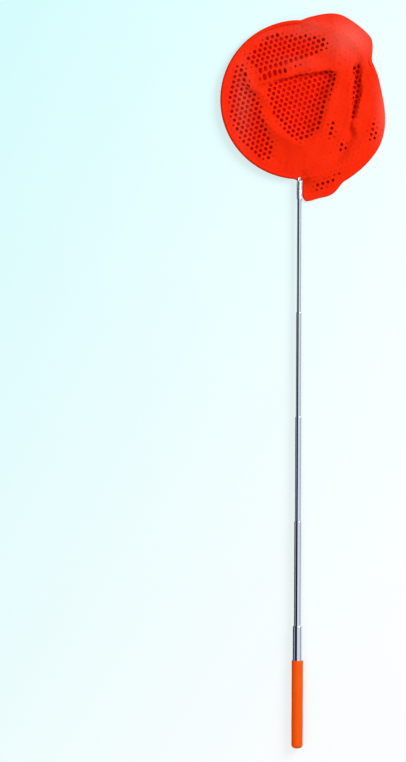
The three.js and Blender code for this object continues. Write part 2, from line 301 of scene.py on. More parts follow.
# Finishes
steelSet = {
    "tone": "#e3e6ed",
    "shade": "#ced3dd",
    "drawLine": 0.5,  # mm across one drawing line
    "drawLength": 60.0,  # mm along it
    "smudge": 14.0,  # mm across a finger mark
    "smudgeDetail": 4.0, "smudgeRange": (0.35, 0.75), "roughness": (0.04, 0.14),
    "satin": (0.34, 0.5),  # of the tumbled ferrule
    "bump": 0.02, "bumpStrength": 0.25,
}


# Nickel-plated steel tube, drawn and polished: mirror bright, with hairlines along the tube and faint
# finger marks that blur the reflection
def nickelPlatedSteel(name, roughness):
    material, tree = newMaterial(name)
    place = objectPlace(tree)
    across = 1 / (steelSet["drawLine"] * mm)
    grain = (across, 1 / (steelSet["drawLength"] * mm), across)
    lines = addNode(tree, "Mapping", {"Vector": place, "Scale": grain})
    hair = addNoise(tree, lines.outputs[0], 1.0, unit=1.0)
    marks = addNoise(tree, place, steelSet["smudge"], steelSet["smudgeDetail"])
    putShader(tree, "BsdfPrincipled", {
        "Base Color": mixTones(tree, hair, steelSet["tone"], steelSet["shade"]),
        "Roughness": mapRange(tree, marks, steelSet["smudgeRange"], roughness),
        "Normal": addBump(tree, hair, steelSet["bumpStrength"], steelSet["bump"]),
        "Metallic": 1.0,
    })
    return material


vinylSet = {
    "tone": "#ff5a02",
    "worn": "#fc6610",
    "cloud": 22.0, "cloudRange": (0.45, 0.8), "cloudShare": 0.5,
    "pore": 0.9,  # coarse enough to show
    "poreDetail": 2.0, "bump": 0.06, "bumpStrength": 0.3, "roughness": 0.46, "ior": 1.53, "specular": 0.12,
}


# Soft PVC dipped grip: satin, slightly cloudy, with a fine pored skin
def softVinyl():
    material, tree = newMaterial("softVinyl")
    place = objectPlace(tree)
    cloud = addNoise(tree, place, vinylSet["cloud"])
    pores = addNoise(tree, place, vinylSet["pore"], vinylSet["poreDetail"])
    amount = mapRange(tree, cloud, vinylSet["cloudRange"], (0.0, vinylSet["cloudShare"]))
    putShader(tree, "BsdfPrincipled", {
        "Base Color": mixTones(tree, amount, vinylSet["tone"], vinylSet["worn"]),
        "Normal": addBump(tree, pores, vinylSet["bumpStrength"], vinylSet["bump"]),
        "Roughness": vinylSet["roughness"],
        "IOR": vinylSet["ior"],
        "Specular IOR Level": vinylSet["specular"],
    })
    return material


knitSet = {
    "upper": {"tone": "#fb2202", "pale": "#fa360f", "paintedLoopShade": "#e91d05"},
    # painted shade: light reaches the layers below only through the cloth above them, so they get a copy of
    # the cloth in a deeper red that stands in for that shade
    "below": {"tone": "#f40c06", "pale": "#f6140a", "paintedLoopShade": "#dc0804"},
    # painted light: the paler tone where the table's light comes through and folds catch the light
    "thin": "#ea5c4c",
    "rib": {"length": 1.1, "distortion": 1.5, "way": "X"},  # mm from rib to rib
    "course": {"length": 0.8, "distortion": 1.0, "way": "Y"},  # mm from row to row of loops
    "waveDetail": 1.0, "cloud": 26.0,
    "loopShadeShare": 0.35,  # painted shade: share of the darker tone between the loops
    "bump": 0.16, "bumpStrength": 0.5, "roughness": 0.86, "specular": 0.05, "sheen": 0.02,
    "sheenRoughness": 0.5,
    "sheenTint": "#ff8a66",
}


# Warp-knitted polyester: matt, a soft sheen at grazing angles, rows of loops, and painted light: a paler tone
# where a single layer lets the table's light through and where folds catch the light.
# A wave texture has 20 scale / (2 pi) bands a metre.
def knittedPolyester(name, tones):
    material, tree = newMaterial(name)
    cloth = addNode(tree, "UVMap", uv_map="cloth").outputs[0]

    def bands(spec):
        inputs = {"Vector": cloth, "Scale": 2 * math.pi / (20 * spec["length"] * mm),
                  "Distortion": spec["distortion"], "Detail": knitSet["waveDetail"]}
        wave = addNode(tree, "TexWave", inputs, wave_type="BANDS", bands_direction=spec["way"])
        return wave.outputs["Fac"]

    loops = addMath(tree, "MULTIPLY", bands(knitSet["rib"]), bands(knitSet["course"]))
    cloud = addNoise(tree, cloth, knitSet["cloud"])
    # painted light: the marked points take the paler tone
    paintedLightShare = addNode(tree, "Attribute", attribute_name="thin").outputs["Fac"]
    plain = mixTones(tree, cloud, tones["tone"], tones["pale"])
    tone = mixTones(tree, paintedLightShare, plain, knitSet["thin"])
    # painted shade: the tone darkens between the loops
    dip = mapRange(tree, loops, target=(knitSet["loopShadeShare"], 0.0))
    putShader(tree, "BsdfPrincipled", {
        "Base Color": mixTones(tree, dip, tone, tones["paintedLoopShade"]),
        "Normal": addBump(tree, loops, knitSet["bumpStrength"], knitSet["bump"]),
        "Roughness": knitSet["roughness"],
        "Specular IOR Level": knitSet["specular"],
        "Sheen Weight": knitSet["sheen"],
        "Sheen Roughness": knitSet["sheenRoughness"],
        "Sheen Tint": knitSet["sheenTint"],
    })
    return material


# Finishes of two tones in patches: twisted sewing thread, the hidden bushes and the hidden plug
plainSet = {
    "sewingThread": {"tones": ("#c81c08", "#f03c18"), "grain": 0.6, "detail": 2.0,
                     "surface": {"Roughness": 0.6, "Specular IOR Level": 0.3}},
    "rolledBrass": {"tones": ("#c79c45", "#b0833a"), "grain": 3.0, "detail": 3.0,
                    "surface": {"Metallic": 1.0, "Roughness": 0.32}},
    "greyPolypropylene": {"tones": ("#55585c", "#4a4d52"), "grain": 2.0, "detail": 3.0,
                          "surface": {"Roughness": 0.55}},
}


def plainTone(name):
    spec = plainSet[name]
    material, tree = newMaterial(name)
    patch = addNoise(tree, objectPlace(tree), spec["grain"], spec["detail"])
    tone = mixTones(tree, patch, *spec["tones"])
    putShader(tree, "BsdfPrincipled", {"Base Color": tone, **spec["surface"]})
    return material


steel = nickelPlatedSteel("nickelPlatedSteel", steelSet["roughness"])
satin = nickelPlatedSteel("satinNickelSteel", steelSet["satin"])
vinyl = softVinyl()
knit = knittedPolyester("knittedPolyester", knitSet["upper"])
# the deeper red copy of the cloth is painted shade for the layers below
knitPaintedShade = knittedPolyester("knittedPolyesterPaintedShade", knitSet["below"])
thread, brass, plastic = (plainTone(name) for name in plainSet)
for nodeName, finish in [("end_plug", plastic)] + [(f"friction_bush_{i}", brass) for i in range(1, 5)]:
    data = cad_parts[nodeName].data
    data.materials.clear()
    data.materials.append(finish)
print("finishes made")

# Pole
poleSet = {
    "sides": 72,
    "cadSides": 24,  # the CAD grip lies on one of its facets
    "roundSteps": 9, "sharp": 32.0,
    "grip": {"radius": 6.7, "bore": 5.55, "butt": -51.5, "mouth": 51.5, "endWall": 2.5, "dome": 4.6,
             "mouthRoll": 0.55, "rollSteps": 9, "swell": 0.12, "swellLength": 41.0, "swellFade": 30.0,
             "bodySteps": 30, "bodyFrom": 3.0, "bodyTo": 4.0},
    "handle": {"radius": 5.5, "wall": 0.5, "foot": -46.9, "mouth": 92.0, "lip": 3.0},
    "radii": [4.3, 3.75, 3.2, 2.65], "feet": [76.0, 198.5, 321.0, 447.5],
    "tops": [214.5, 337.0, 459.5, 605.5], "overlaps": [16.0, 16.0, 16.0, 12.0], "wall": 0.25, "lip": 1.2,
    "lipGap": 0.1, "footGap": 0.1, "footWidth": 1.2, "beadWidth": 0.8, "seatGap": 0.3,
    "ferrule": {"foot": 592.5, "length": 21.0, "socket": 13.0, "radius": 3.3, "wall": 0.6, "tailBore": 2.35,
                "crimp": 0.2, "crimpWidth": 1.6, "crimpInset": 3.0, "crimpSteps": 9},
}
poleHeight = poleSet["grip"]["radius"] * math.cos(math.pi / poleSet["cadSides"])
quarter = np.linspace(0, np.pi / 2, poleSet["roundSteps"])


# A section of [radius, y] points turned about the pole: x = r sin t, z = poleHeight + r cos t
def turned(name, section, body, node, material=steel):
    radius, y = np.array(section, dtype=float).T
    turn = fullTurn(poleSet["sides"])
    points = np.stack([np.outer(radius, np.sin(turn)), np.outer(y, np.ones_like(turn)),
                       poleHeight + np.outer(radius, np.cos(turn))], -1).reshape(-1, 3)
    quads = gridQuads(len(radius), len(turn), section[0][0] > 0)
    piece = putMesh(name, points, quads, material, body, poleSet["sharp"])
    mergeDoubles(piece)
    piece.data.set_sharp_from_angle(angle=math.radians(poleSet["sharp"]))
    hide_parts(node)


# The swaged top of a tube: r = radius - inset (1 - cos t), y = top - lip + lip sin t, then the bore
def swagedMouth(radius, wall, lipBore, top, lip):
    inset = radius - wall - lipBore
    outside = np.stack([radius - inset * (1 - np.cos(quarter)), top - lip + lip * np.sin(quarter)], -1)
    return [*outside.tolist(), [lipBore, top], [radius - wall, top - lip]]


def makeGrip():
    g = poleSet["grip"]
    dome = np.stack([(g["radius"] - g["dome"]) + g["dome"] * np.sin(quarter),
                     g["butt"] + g["dome"] * (1 - np.cos(quarter))], -1)
    # the sleeve swells and narrows a little: r = radius - swell (1 + cos(2 pi y / length) fade) / 2
    y = np.linspace(g["butt"] + g["dome"] + g["bodyFrom"], g["mouth"] - g["bodyTo"], g["bodySteps"])
    fade = smooth((g["mouth"] - y) / g["swellFade"])
    wave = g["swell"] * np.cos(2 * np.pi * y / g["swellLength"]) * fade / 2
    body = np.stack([g["radius"] - wave - g["swell"] / 2, y], -1)
    turn, roll = np.linspace(0, np.pi, g["rollSteps"]), g["mouthRoll"]
    mouth = np.stack([g["radius"] - roll + roll * np.cos(turn), g["mouth"] - roll + roll * np.sin(turn)], -1)
    floor = g["butt"] + g["endWall"]
    inner = [[g["bore"], g["mouth"] - roll], [g["bore"], floor], [0, floor]]
    section = [[0, g["butt"]], *dome.tolist(), *body.tolist(), *mouth.tolist(), *inner]
    turned("gripSleeve", section, "handle", "grip", vinyl)


# The foot of a sliding tube: a flared end, the seat of its bush, and a rolled bead
def slidingFoot(stage):
    handle, radius = poleSet["handle"], poleSet["radii"][stage]
    parentBore, parentLip = handle["radius"] - handle["wall"], handle["lip"]
    if stage > 0:
        parentBore, parentLip = poleSet["radii"][stage - 1] - poleSet["wall"], poleSet["lip"]
    stand = parentBore - poleSet["footGap"] - radius
    gap, width, bead = poleSet["seatGap"], poleSet["footWidth"], poleSet["beadWidth"]
    seatTop = poleSet["overlaps"][stage] - parentLip - gap - bead - 2 * stand
    up = [[radius + stand, 0], [radius + stand, width], [radius, width + stand], [radius, seatTop],
          [radius + stand, seatTop + stand], [radius + stand, seatTop + stand + bead],
          [radius, seatTop + 2 * stand + bead]]
    return [[r, poleSet["feet"][stage] + y] for r, y in up]


def makeTubes():
    h, wall, gap = poleSet["handle"], poleSet["wall"], poleSet["lipGap"]
    radii, feet, tops = poleSet["radii"], poleSet["feet"], poleSet["tops"]
    mouth = swagedMouth(h["radius"], h["wall"], radii[0] + gap, h["mouth"], h["lip"])
    section = [[h["radius"], h["foot"]], *mouth, [h["radius"] - h["wall"], h["foot"]]]
    turned("handleTube", section, "handle", "handle_tube")
    tip = len(radii) - 1
    for stage in range(tip):
        number = stage + 1
        mouth = swagedMouth(radii[stage], wall, radii[number] + gap, tops[stage], poleSet["lip"])
        section = [*slidingFoot(stage), *mouth, [radii[stage] - wall, feet[stage]]]
        turned(f"drawTube{number}", section, f"draw_{number}", f"draw_tube_{number}")
    bore = radii[tip] - wall
    section = [*slidingFoot(tip), [radii[tip], tops[tip]], [bore, tops[tip]], [bore, feet[tip]]]
    turned("tipTube", section, "net_head", "tip_tube")


# Ferrule: crimped twice round the tip tube, r = radius - crimp (1 - s^2)^2, closed in round the wire tails
def makeFerrule():
    f = poleSet["ferrule"]
    wave = np.linspace(-1, 1, f["crimpSteps"])
    groove = f["radius"] - f["crimp"] * (1 - wave ** 2) ** 2
    crimps = [np.stack([groove, f["foot"] + middle + wave * f["crimpWidth"] / 2], -1).tolist()
              for middle in (f["crimpInset"], f["socket"] - f["crimpInset"])]
    top = f["foot"] + f["length"]
    shoulder = f["foot"] + f["socket"] + poleSet["seatGap"]
    mouth = swagedMouth(f["radius"], f["wall"], f["tailBore"], top, poleSet["lip"])[:-1]
    section = [[f["radius"], f["foot"]], *crimps[0], *crimps[1], *mouth, [f["tailBore"], shoulder],
               [f["radius"] - f["wall"], shoulder], [f["radius"] - f["wall"], f["foot"]]]
    turned("crimpedFerrule", section, "net_head", "ferrule", satin)


makeGrip()
makeTubes()
makeFerrule()
print("pole made")

# Hoop
hoopSet = {
    "radius": 91.0, "wire": 1.1, "tailX": 1.15, "tailBend": 4.0, "tailLength": 32.0, "bendY": 614.1,
    "bendSteps": 12, "stations": 300, "sides": 16, "sharp": 60.0,
}
hoopRadius = hoopSet["radius"]
bendX = hoopSet["tailX"] + hoopSet["tailBend"]
bendDrop = math.sqrt((hoopRadius + hoopSet["tailBend"]) ** 2 - bendX ** 2)
hoopY = hoopSet["bendY"] + bendDrop
hoopStart = math.atan2(-bendDrop, bendX)


# Rings round a flat path: point + inward r cos t + up r sin t
def ringsRound(points, headings, radius, sides):
    turn = fullTurn(sides)
    radius = np.broadcast_to(radius, (len(points), sides))
    inward = np.stack([-headings[:, 1], headings[:, 0], np.zeros(len(headings))], -1)
    rings = points[:, None, :] + inward[:, None, :] * (radius * np.cos(turn))[:, :, None]
    rings[:, :, 2] += radius * np.sin(turn)
    return rings


def hoopPath(turns, radius):
    level = np.full_like(turns, poleHeight)
    points = np.stack([radius * np.cos(turns), hoopY + radius * np.sin(turns), level], -1)
    return points, np.stack([-np.sin(turns), np.cos(turns), np.zeros_like(turns)], -1)


def makeWire():
    turns = np.linspace(hoopStart, math.pi - hoopStart, hoopSet["stations"])
    around, aroundHead = hoopPath(turns, hoopRadius)
    bend = np.linspace(np.pi, hoopStart + np.pi, hoopSet["bendSteps"], endpoint=False)
    level = np.full_like(bend, poleHeight)
    bent = np.stack([bendX + hoopSet["tailBend"] * np.cos(bend),
                     hoopSet["bendY"] + hoopSet["tailBend"] * np.sin(bend), level], -1)
    bentHead = np.stack([np.sin(bend), -np.cos(bend), np.zeros_like(bend)], -1)
    end = np.array([[hoopSet["tailX"], hoopSet["bendY"] - hoopSet["tailLength"], poleHeight]])
    tail = np.concatenate([end, bent])
    tailHead = np.concatenate([[[0.0, 1.0, 0.0]], bentHead])
    flip = np.array([-1.0, 1.0, 1.0])
    points = np.concatenate([tail, around, (tail * flip)[::-1]])
    heads = np.concatenate([tailHead, aroundHead, (-tailHead * flip)[::-1]])
    # the ends close to a point
    points = np.concatenate([points[:1], points, points[-1:]])
    heads = np.concatenate([heads[:1], heads, heads[-1:]])
    radius = np.full((len(points), 1), hoopSet["wire"])
    radius[[0, -1]] = 0
    rings = ringsRound(points, heads, radius, hoopSet["sides"])
    piece = putMesh("hoopWire", rings.reshape(-1, 3), gridQuads(len(points), hoopSet["sides"]), steel,
                    "net_head", hoopSet["sharp"])
    mergeDoubles(piece)
    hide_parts("hoop_wire")


makeWire()
print("hoop made")

# The sector in which the cloth of the bag lies over the hem, in degrees anticlockwise from +X: how fast the
# cloth's outline and its height begin there, and how fast both end
overSet = {"from": -88.5, "to": 95.0, "outlineSoft": 1.0, "heightSoft": 6.0, "endSoft": 12.0}


# 1 where the cloth lies over the hem, 0 where it is sewn to it
def overShare(degrees, soft="heightSoft"):
    begins = smooth((degrees - overSet["from"]) / overSet[soft])
    return begins * smooth((overSet["to"] - degrees) / overSet["endSoft"])


# Hem: the casing that is sewn round the wire, gathered along it
hemSet = {
    "radius": 2.42, "bore": 1.5, "sides": 18, "stations": 720,
    "gathers": ((118, 0.05, 0.4), (77, 0.04, 1.9), (191, 0.03, 5.1)),  # count, share, phase
    "slant": 0.7,
    "pull": (0.55, 0.45),  # share of the gathers all round, and more on the inside
    "flat": 0.04,  # how much the inside is flattened
    "flatTurn": 0.5,
    "gap": 1.0,  # degrees from the pole's line to the open end on each side
    "endDrop": 2.2,  # the ends follow the wire's bends towards the ferrule
    "endWidth": 4.5,  # degrees
    "press": 0.6,  # how much slimmer it is under the cloth
    "borePress": 0.2, "sharp": 60.0,
}


def makeHem():
    gap, sides = math.radians(hemSet["gap"]), hemSet["sides"]
    turns = np.linspace(gap - math.pi / 2, 1.5 * math.pi - gap, hemSet["stations"])
    fromPole = np.minimum(turns + math.pi / 2, 1.5 * math.pi - turns)
    drop = hemSet["endDrop"] * smooth(1 - fromPole / math.radians(hemSet["endWidth"]))
    points, heads = hoopPath(turns, hoopRadius + drop)
    ring = fullTurn(sides)[None, :]
    # pucker = sum of a sin(n turn + phase + slant sin ring), strongest where the seam draws the cloth in
    slant = hemSet["slant"] * np.sin(ring)
    pucker = sum(share * np.sin(count * turns[:, None] + phase + slant)
                 for count, share, phase in hemSet["gathers"])
    pulled = pucker * (hemSet["pull"][0] + hemSet["pull"][1] * np.cos(ring))
    over = overShare(np.degrees(turns))[:, None]
    flattened = hemSet["flat"] * smooth(np.cos(ring - hemSet["flatTurn"]))
    radius = (hemSet["radius"] - hemSet["press"] * over) * (1 + pulled - flattened)
    outer = ringsRound(points, heads, radius, sides)
    inner = ringsRound(points, heads, hemSet["bore"] - hemSet["borePress"] * over, sides)[::-1]
    rings = np.concatenate([outer, inner])
    along = np.concatenate([turns, turns[::-1]])[:, None] * hoopRadius * mm
    uv = np.stack(np.broadcast_arrays(along, ring * hemSet["radius"] * mm), -1).reshape(-1, 2)
    piece = putMesh("hemCasing", rings.reshape(-1, 3), gridQuads(len(rings), sides, True), knit, "net_head",
                    hemSet["sharp"], uv)
    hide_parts("net_hem")
    return piece


hem = makeHem()
print("hem made")

# Bag: limp cloth that lies in the hoop and over its right side. Places are mm from the middle of the hoop,
# angles are degrees anticlockwise from +X.
bagSet = {
    "cell": 2.0,  # mm, grid on which the cloth is draped
    "half": 132.0,
    "hemHeight": 6.4,  # where the cloth is sewn to the hem
    "overRing": 10.4,  # where it lies over the hem
    "edgeHeight": 3.2,  # top of the folded edge past the hoop
    "restHeight": 3.2,  # the cloth lies on the under layer
    "startHeight": 5.2,  # before it settles
    "weight": 0.012,  # mm that a place sags below its neighbours
    "passes": 2600, "roundPasses": 2, "rimWidth": 2.0, "edge": 94.3,
    "pastHoop": 1.2,  # from the hoop's line to where the upright edge begins
    "clear": 5.2,  # from the pole's axis to the cloth beside the ferrule
    # lobes of the outline: from, to, how fast each begins and ends, reach
    "lobes": ((27, 90, 16, 28, 15.6), (-77, 12, 20, 46, 12.6), (-91, -42, 2, 36, 22.5)), "lobeJoin": 6,
    # waves of the lowest edge
    "scallop": {"height": 0.9, "crest": -86.0, "length": 16.0, "end": -56.0, "fade": 12.0},
    # crest lines of the folds: places and height, and how near to them the height holds
    "crestHold": 1.5,
    "crests": (
        ((-54, 22, 6.0), (-40, 27, 7.5), (-25, 31, 9.0), (-2, 36.5, 10.5), (23, 41, 11.5), (45, 43, 11.5)),
        ((-66, 32, 6.5), (-52, 15, 8.0), (-36, -5, 7.0)),
        ((-47, -19, 6.5), (-34, -31, 8.5), (-22, -41, 9.0), (-2, -53, 9.0), (12, -53, 9.0)),
        ((12, -53, 9.0), (24, -43, 9.5), (31, -22, 10.0), (38, 4, 11.0), (45, 30, 11.5), (45, 43, 11.5)),
        ((57, 50, 11.0), (58.5, 30, 11.5), (58, 5, 11.0), (57, -20, 10.0), (54, -34, 9.0)),
        ((77, 40, 10.2), (76, 20, 10.6), (76, 3, 10.4), (70.5, -14, 10.0), (64, -29, 9.4)),
        ((40, 92, 9.6), (44, 70, 10.6), (50, 52, 11.2)),
        ((54, -34, 9.0), (44, -54, 8.4), (28, -74, 8.0)),
        ((65, -32, 9.2), (66, -46, 9.2), (58, -62, 9.4)),
        ((12, -53, 9.0), (6, -66, 7.6), (-8, -80, 7.0)),
    ),
    # places where it sinks to the layer under it
    "hollowHold": 3.0,
    "hollows": (
        ((65.5, 36, 3.2), (66.5, 20, 3.2), (66.5, 2, 3.2), (62.5, -19, 3.4)),
        ((-24, 22, 3.4), (0, 27, 3.2), (26, 32, 3.2), (33, 28, 3.4)),
        ((-14, 10, 3.2), (4, 8, 3.2), (20, 10, 3.2)),
        ((-2, -20, 3.2), (8, -32, 3.4)),
        ((61, -32, 4.6), (56, -48, 5.4), (44, -68, 6.4)),
    ),
    "lineSteps": 8,
    # small waves of the slack cloth, weaker past the hoop
    "ripple": {"seed": 7, "passes": 14, "height": 0.28, "inset": 4.0, "fade": 10.0, "pastFrom": 94.0,
               "pastFade": 5.0, "pastShare": 0.5},
    # where hem and bag are sewn together: a groove, and gathers of so many waves round the hoop, each with
    # its share, phase, and how far and how often it wanders
    "seam": {"radius": 86.8, "groove": 0.9, "width": 1.7, "gather": 0.22, "inward": 20.0, "inwardFade": 18.0,
             "outward": 1.0, "outwardFade": 3.0, "waves": ((74, 1.0, 0.0, 2.0, 5), (47, 0.6, 1.3, 0.0, 0))},
    # the lips that fold over: crest number, way, reach
    "lips": ((0, (0.12, -1.0), 7.5), (4, (1.0, 0.0), 3.0), (5, (-1.0, 0.1), 4.0)), "lipWidth": 16.0,
    "newton": {"start": 0.9, "steps": 40, "leastArea": 0.3, "damping": 0.5},
    "hole": 2.15,  # where the cloth is single
    "slackHole": 0.55,  # where it lies double and slack
    "turnedHem": 83.5,
    "foldWidth": 6.5,  # cloth along the folded edge that shows no holes
    "keepPast": 1.2,  # cells with their middle up to this far past the outline are kept and drawn in
    "turn": 17.5,
    # outlines inside which one layer shows its holes, and how wide
    "openBlur": 4, "openGain": 1.2,
    "open": (
        (1.0, ((-64, 46), (-36, 77), (26, 73), (34, 62), (12, 52), (-2, 45), (-24, 36), (-44, 27))),
        (0.75, ((-84, 42), (-65, 40), (-57, 14), (-47, -2), (-40, -29), (-31, -54), (-34, -72), (-50, -68),
                (-66, -54), (-80, -29), (-86, 0))),
        (1.0, ((-34, 24), (-2, 32), (42, 39), (42, 26), (30, -6), (22, -34), (2, -50), (-14, -42), (-32, -14),
               (-38, 10))),
        (1.0, ((61, 42), (71, 40), (73, 4), (63, -27), (59, -10))),
        (0.62, ((80, -38), (88, -22), (92, -44), (82, -54))),
        (0.62, ((34, -26), (42, -22), (40, -44), (32, -48))),
        (0.62, ((46, -48), (56, -50), (54, -62), (46, -60))),
        (0.62, ((18, -97), (32, -94), (48, -84), (50, -88), (38, -98), (24, -106), (18, -106))),
    ),
}
half, cell = bagSet["half"], bagSet["cell"]
axis = np.arange(-half, half + cell / 2, cell)
gridA, gridB = np.meshgrid(axis, axis, indexing="ij")


# How far the outline lies past the hem's edge: lobes reach ease((t - from)/soft) ease((to - t)/soft), joined
# as the sixth root of the sum of their sixth powers, and height cos(2 pi (t - crest)/length) lowest down
def lobeReach(degrees):
    join, spec = bagSet["lobeJoin"], bagSet["scallop"]
    lobes = sum((reach * smooth((degrees - low) / lowSoft) * smooth((high - degrees) / highSoft)) ** join
                for low, high, lowSoft, highSoft, reach in bagSet["lobes"])
    wave = spec["height"] * np.cos(2 * np.pi * (degrees - spec["crest"]) / spec["length"])
    return lobes ** (1 / join) + wave * smooth((spec["end"] - degrees) / spec["fade"])


def polar(a, b):
    return np.hypot(a, b), np.degrees(np.arctan2(b, a))


# True past the hem on the pole's side of the cloth's upright edge beside the ferrule
def besidePole(a, b, margin=0.0):
    past = np.hypot(a, b) > hoopRadius + bagSet["pastHoop"]
    return past & (b < 0) & (a < bagSet["clear"] + margin)


# The bag's outline: along the hem where it is sewn to it, past the hem where it lies over it
def bagEdge(degrees):
    share = overShare(degrees, "outlineSoft")
    past = bagSet["edge"] + lobeReach(degrees)
    return hoopRadius + share * (past - hoopRadius), share


# Distance of places to a line of points, and the line's height there
def lineField(line, a, b):
    line = np.array(line, dtype=float)
    best, height = np.full(a.shape, np.inf), np.zeros(a.shape)
    for start, stop in zip(line[:-1], line[1:]):
        way = stop[:2] - start[:2]
        share = np.clip(((a - start[0]) * way[0] + (b - start[1]) * way[1]) / (way @ way), 0, 1)
        away = np.hypot(a - start[0] - share * way[0], b - start[1] - share * way[1])
        nearer = away < best
        best = np.where(nearer, away, best)
        height = np.where(nearer, start[2] + share * (stop[2] - start[2]), height)
    return best, height


# A smooth line through points: Catmull-Rom
def roundedLine(points):
    p = np.array(points, dtype=float)
    p = np.concatenate([2 * p[:1] - p[1:2], p, 2 * p[-1:] - p[-2:-1]])
    t = np.linspace(0, 1, bagSet["lineSteps"], endpoint=False)[:, None]
    spans = [0.5 * (2 * b + (c - a) * t + (2 * a - 5 * b + 4 * c - d) * t ** 2
                    + (3 * b - a - 3 * c + d) * t ** 3)
             for a, b, c, d in zip(p[:-3], p[1:-2], p[2:-1], p[3:])]
    return np.concatenate([*spans, p[-2:-1]])


# The sum of each place's four neighbours
def neighbours(field):
    wide = np.pad(field, 1, mode="edge")
    return wide[:-2, 1:-1] + wide[2:, 1:-1] + wide[1:-1, :-2] + wide[1:-1, 2:]


# Half of each place and an eighth of each neighbour, again and again
def blurred(field, passes):
    for _ in range(passes):
        field = 0.5 * field + 0.125 * neighbours(field)
    return field


crestLines = [roundedLine(line) for line in bagSet["crests"]]
gridRadius, gridDegrees = polar(gridA, gridB)


# The drape: each place takes the mean of its neighbours less its weight, and never sinks into the layer
# below, while hem, edge, crests and hollows hold their heights
def settledCloth():
    rows = [(line, bagSet["crestHold"]) for line in crestLines]
    rows += [(roundedLine(line), bagSet["hollowHold"]) for line in bagSet["hollows"]]
    held = np.zeros(gridA.shape, dtype=bool)
    height = np.full(gridA.shape, bagSet["startHeight"])
    for line, width in rows:
        away, level = lineField(line, gridA, gridB)
        held = held | (away < width)
        height = np.where(away < width, level, height)
    hemHeight, edgeHeight = bagSet["hemHeight"], bagSet["edgeHeight"]
    rim = np.abs(gridRadius - hoopRadius) < bagSet["rimWidth"]
    rimHeight = hemHeight + overShare(gridDegrees) * (bagSet["overRing"] - hemHeight)
    height = np.where(rim, rimHeight, height)
    beside = besidePole(gridA, gridB)
    low = np.maximum(overShare(gridDegrees, "outlineSoft"), beside & (gridA > 0))
    outside = (gridRadius >= bagEdge(gridDegrees)[0]) | beside
    height = np.where(outside & ~rim, edgeHeight + (1 - low) * (hemHeight - edgeHeight), height)
    held = held | rim | outside
    floor = np.where(gridRadius > hoopRadius, edgeHeight, bagSet["restHeight"])
    for _ in range(bagSet["passes"]):
        relaxed = np.maximum(neighbours(height) / 4 - bagSet["weight"], floor)
        height = np.where(held, height, relaxed)
    return blurred(height, bagSet["roundPasses"])


# Blurred noise, none at the hem
def clothRipple():
    spec = bagSet["ripple"]
    wander = np.random.default_rng(spec["seed"]).normal(0, 1, gridA.shape)
    ripple = blurred(wander, spec["passes"])
    inside = smooth((hoopRadius - spec["inset"] - gridRadius) / spec["fade"])
    past = spec["pastShare"] * smooth((gridRadius - spec["pastFrom"]) / spec["pastFade"])
    return ripple / ripple.std() * spec["height"] * np.maximum(inside, past)


# Gathers, the sum of a sin(n t + phase + wander sin(m t)), less the groove g exp(-((r - seam)/width)^2)
def seamPucker():
    spec = bagSet["seam"]
    turn = np.radians(gridDegrees)
    gathers = spec["gather"] * sum(share * np.sin(count * turn + wander * np.sin(often * turn) + phase)
                                   for count, share, phase, wander, often in spec["waves"])
    gathers = gathers * smooth((gridRadius - spec["radius"] + spec["inward"]) / spec["inwardFade"])
    gathers = gathers * smooth((spec["radius"] + spec["outward"] - gridRadius) / spec["outwardFade"])
    return gathers - spec["groove"] * np.exp(-((gridRadius - spec["radius"]) / spec["width"]) ** 2)


clothHeight = settledCloth() + clothRipple() + (1 - overShare(gridDegrees)) * seamPucker()
print("bag draped: lowest", round(float(clothHeight.min()), 2), "highest", round(float(clothHeight.max()), 2))


# Reads a grid between its points, bilinear, and stops just short of its last row
def sample(field, a, b):
    last = len(axis) - 1.001
    u = np.clip((a + half) / cell, 0, last)
    v = np.clip((b + half) / cell, 0, last)
    i, j = u.astype(int), v.astype(int)
    s, t = u - i, v - j
    return ((1 - s) * (1 - t) * field[i, j] + s * (1 - t) * field[i + 1, j]
            + (1 - s) * t * field[i, j + 1] + s * t * field[i + 1, j + 1])


# The cloth laid flat: where it slopes it is longer than it looks from above, by J = I + (k - 1) n n',
# n along the slope, k = sqrt(1 + slope^2). Two fields whose gradients are nearest to J's rows, by Poisson:
# the spread of J - I, mirrored to be periodic, over the eigenvalues of the grid's Laplacian.
def flatten(height):
    slopeA, slopeB = np.gradient(height, cell)
    slope = np.hypot(slopeA, slopeB) + tiny
    extra = (np.sqrt(1 + slope ** 2) - 1) / slope ** 2
    cross = extra * slopeA * slopeB
    count = len(axis)
    wave = 2 * np.cos(np.pi * np.arange(2 * count) / count) - 2
    eigen = (wave[:, None] + wave[None, :]) / cell ** 2
    eigen[0, 0] = 1
    flat = []
    for start, alongA, alongB in ((gridA, extra * slopeA ** 2, cross), (gridB, cross, extra * slopeB ** 2)):
        spread = np.gradient(alongA, cell, axis=0) + np.gradient(alongB, cell, axis=1)
        mirror = np.concatenate([spread, spread[::-1]])
        mirror = np.concatenate([mirror, mirror[:, ::-1]], axis=1)
        spectrum = np.fft.fft2(mirror) / eigen
        spectrum[0, 0] = 0
        flat.append(start + np.real(np.fft.ifft2(spectrum))[:count, :count])
    return flat


# Finds the places whose flat position is wanted, by damped Newton steps
def unflatten(flat, wantA, wantB):
    spec = bagSet["newton"]
    grads = [np.gradient(field, cell) for field in flat]
    a, b = wantA * spec["start"], wantB * spec["start"]
    for _ in range(spec["steps"]):
        missA, missB = wantA - sample(flat[0], a, b), wantB - sample(flat[1], a, b)
        aa, ab = (sample(g, a, b) for g in grads[0])
        ba, bb = (sample(g, a, b) for g in grads[1])
        size = np.maximum(aa * bb - ab * ba, spec["leastArea"])
        a = np.clip(a + spec["damping"] * (bb * missA - ab * missB) / size, -half, half)
        b = np.clip(b + spec["damping"] * (aa * missB - ba * missA) / size, -half, half)
    return a, b


